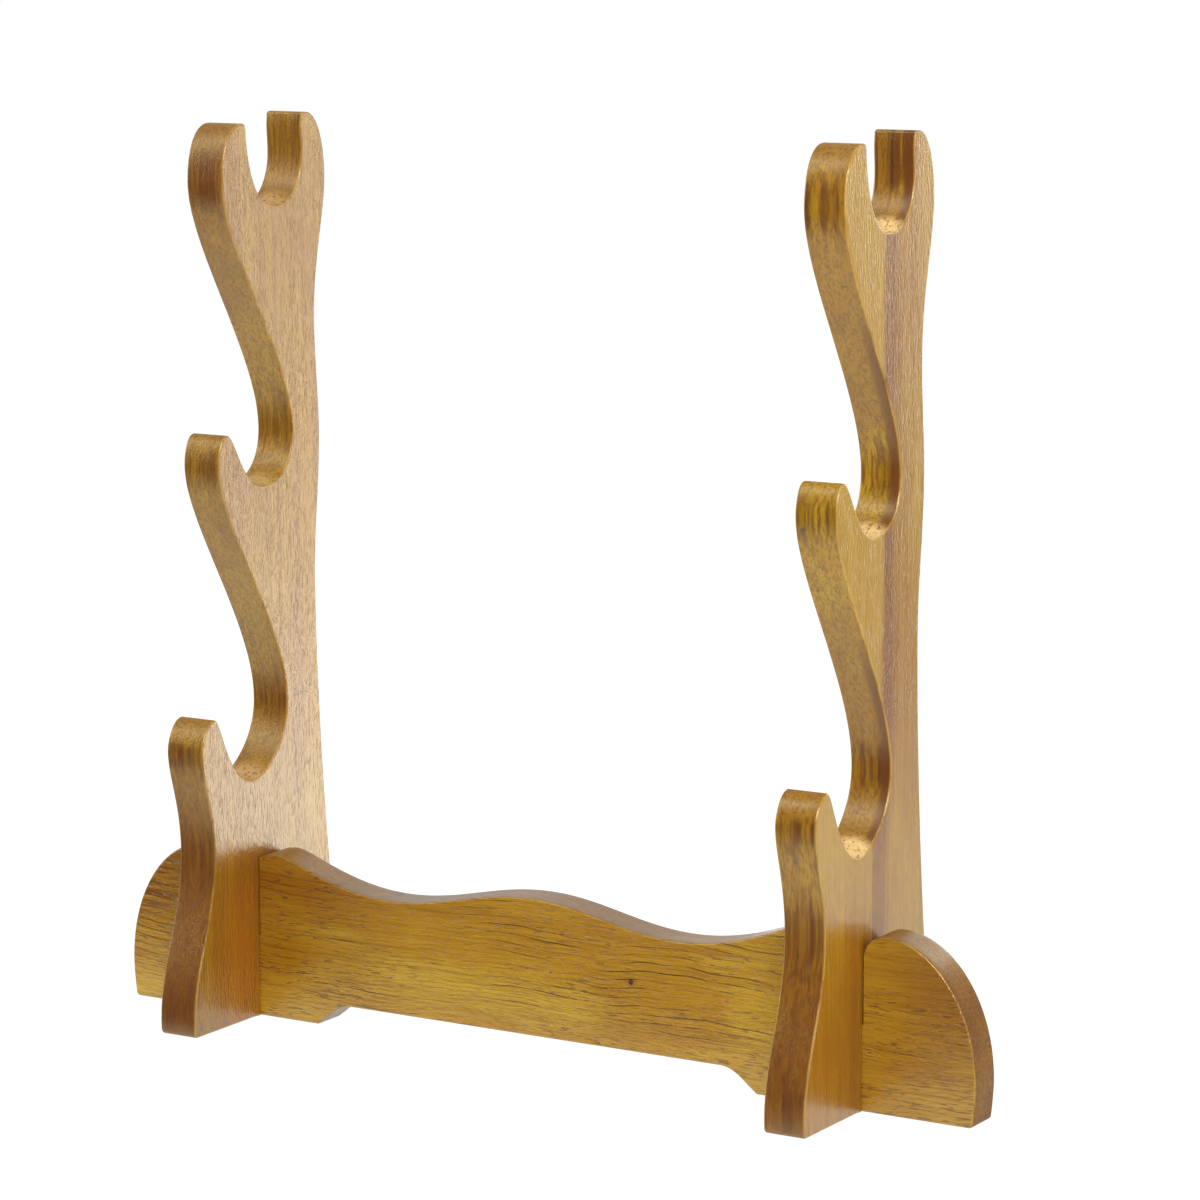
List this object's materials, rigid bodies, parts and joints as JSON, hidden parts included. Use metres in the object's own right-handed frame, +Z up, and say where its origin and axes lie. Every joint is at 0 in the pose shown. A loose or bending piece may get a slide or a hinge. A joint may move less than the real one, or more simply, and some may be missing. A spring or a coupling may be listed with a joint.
{
  "type": "three-tier wooden stand",
  "caption": "Slot-together wooden stand with hooked uprights on a wavy cross board, which holds long slim things level, one above another.",
  "frame": {"origin": "on the floor under the middle of the whole stand", "axes": "+X along the cross board, +Y from the hooks to the back edge, +Z up; the hooks open to -Y"},
  "size_m": [0.4052, 0.1068, 0.3785],
  "materials": {
    "upright_wood": "clear satin lacquer, honey brown",
    "cross_board_wood": "clear satin lacquer, golden ochre"
  },
  "bodies": {
    "board": {"cross_board": "cross_board_wood"},
    "left_side": {"left_upright": "upright_wood"},
    "right_side": {"right_upright": "upright_wood"}
  },
  "joints": [
    {"name": "left_upright_lift", "type": "slide", "parent": "board", "child": "left_side", "axis": [0, 0, 1], "range_m": [0, 0.075]},
    {"name": "right_upright_lift", "type": "slide", "parent": "board", "child": "right_side", "axis": [0, 0, 1], "range_m": [0, 0.075]}
  ]
}
